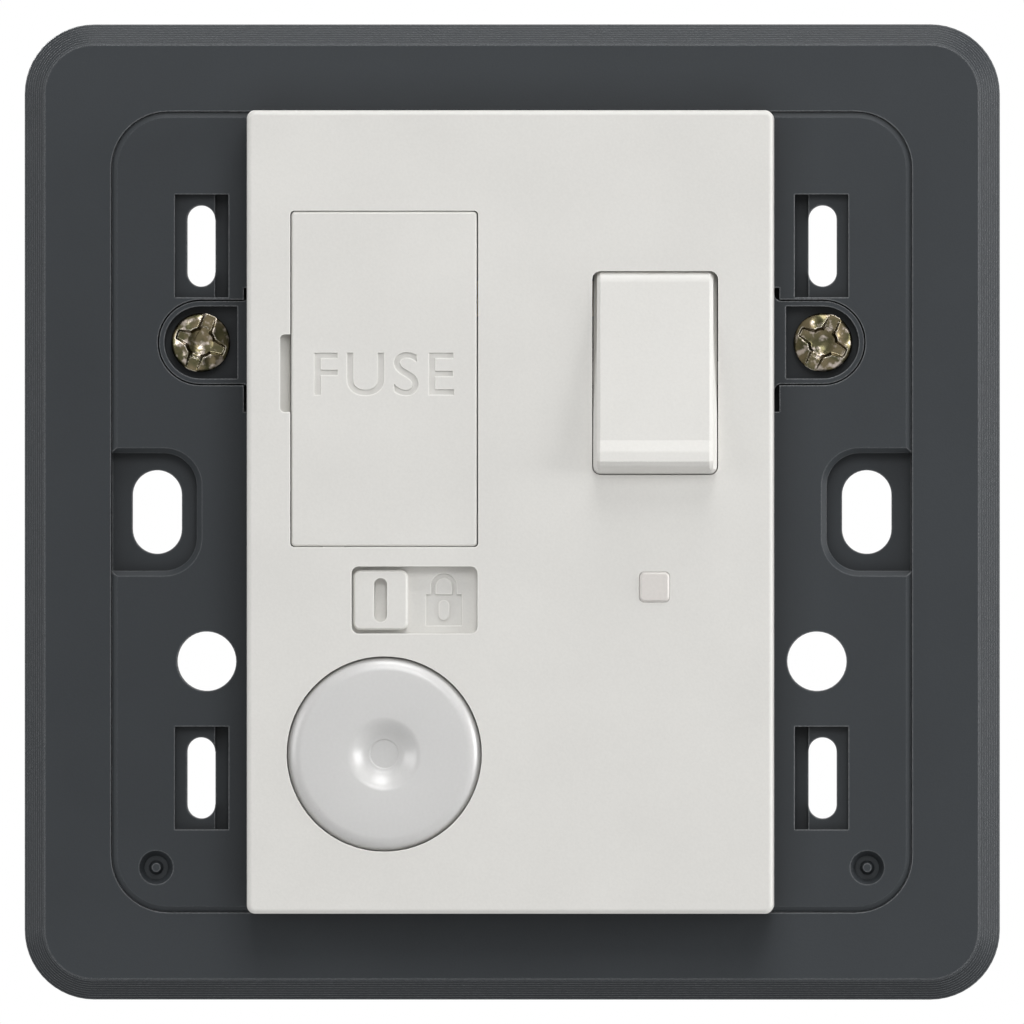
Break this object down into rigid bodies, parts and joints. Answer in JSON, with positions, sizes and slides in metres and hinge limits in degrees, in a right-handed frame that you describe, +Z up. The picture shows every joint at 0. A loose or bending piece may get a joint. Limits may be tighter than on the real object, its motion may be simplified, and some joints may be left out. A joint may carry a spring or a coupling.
{
  "type": "fused spur unit",
  "caption": "Square wall-mounted fused spur: dark frame and plate, white module with pull-out fuse carrier, rocker switch, indicator lens, sliding lock and round flex outlet.",
  "frame": {"origin": "centre of the wall frame on the wall face, midway between the two box screw slots", "axes": "+X to the right seen from the front, +Y into the wall, +Z up; the front faces -Y"},
  "size_m": [0.083, 0.0387, 0.083],
  "materials": {
    "dark_plastic": "matt dark grey moulding",
    "white_plastic": "satin white moulding",
    "soft_white": "soft white elastomer",
    "lens": "frosted clear plastic",
    "lamp_glass": "clear glass",
    "resistor_body": "lacquered",
    "ceramic": null,
    "nickel": "nickel plated",
    "silver": "silver alloy",
    "zinc_steel": "yellow passivated zinc",
    "plunger_plastic": "natural nylon",
    "spring_steel": "spring wire",
    "brass": "plain brass"
  },
  "bodies": {
    "base": {"outer_frame": "dark_plastic", "support_plate": "dark_plastic", "module_screws": "zinc_steel", "front_cover": "white_plastic", "rear_housing": "dark_plastic", "fuse_outlet_clip": "brass", "fuse_feed_strip": "brass", "line_pivot_strip": "brass", "neutral_pivot_strip": "brass", "neutral_contact_strip": "brass", "fixed_contact_tips": "silver", "indicator_lens": "lens", "lamp": "lamp_glass", "lamp_resistor": "resistor_body", "cord_outlet_grommet": "soft_white", "supply_line_terminal": "brass", "supply_neutral_terminal": "brass", "load_line_terminal": "brass", "load_neutral_terminal": "brass", "earth_terminal": "brass", "terminal_screws": "zinc_steel", "housing_screws": "zinc_steel", "cord_clamp_bar": "dark_plastic", "cord_clamp_screws": "zinc_steel"},
    "rocker": {"rocker": "white_plastic", "plungers": "plunger_plastic", "plunger_springs": "spring_steel"},
    "contact_arms": {"line_contact_arm": "brass", "neutral_contact_arm": "brass", "moving_contact_tips": "silver"},
    "fuse_carrier": {"fuse_carrier": "white_plastic", "fuse_barrel": "ceramic", "fuse_caps": "nickel"},
    "lock_slider": {"lock_slider": "white_plastic"}
  },
  "joints": [
    {"name": "rocker_tilt", "type": "hinge", "parent": "base", "child": "rocker", "pos_m": [0.0123, -0.0106, 0.01177], "axis": [1, 0, 0], "range_deg": [0, 12]},
    {"name": "contact_tilt", "type": "hinge", "parent": "base", "child": "contact_arms", "pos_m": [0.0123, -0.00017, 0.01177], "axis": [1, 0, 0], "range_deg": [-12, 0]},
    {"name": "fuse_pull", "type": "slide", "parent": "base", "child": "fuse_carrier", "axis": [0, -1, 0], "range_m": [0, 0.014]},
    {"name": "lock_slide", "type": "slide", "parent": "base", "child": "lock_slider", "axis": [1, 0, 0], "range_m": [0, 0.00577]}
  ],
  "couplings": [
    {"joint": "contact_tilt", "follows": "rocker_tilt", "ratio": -1}
  ]
}
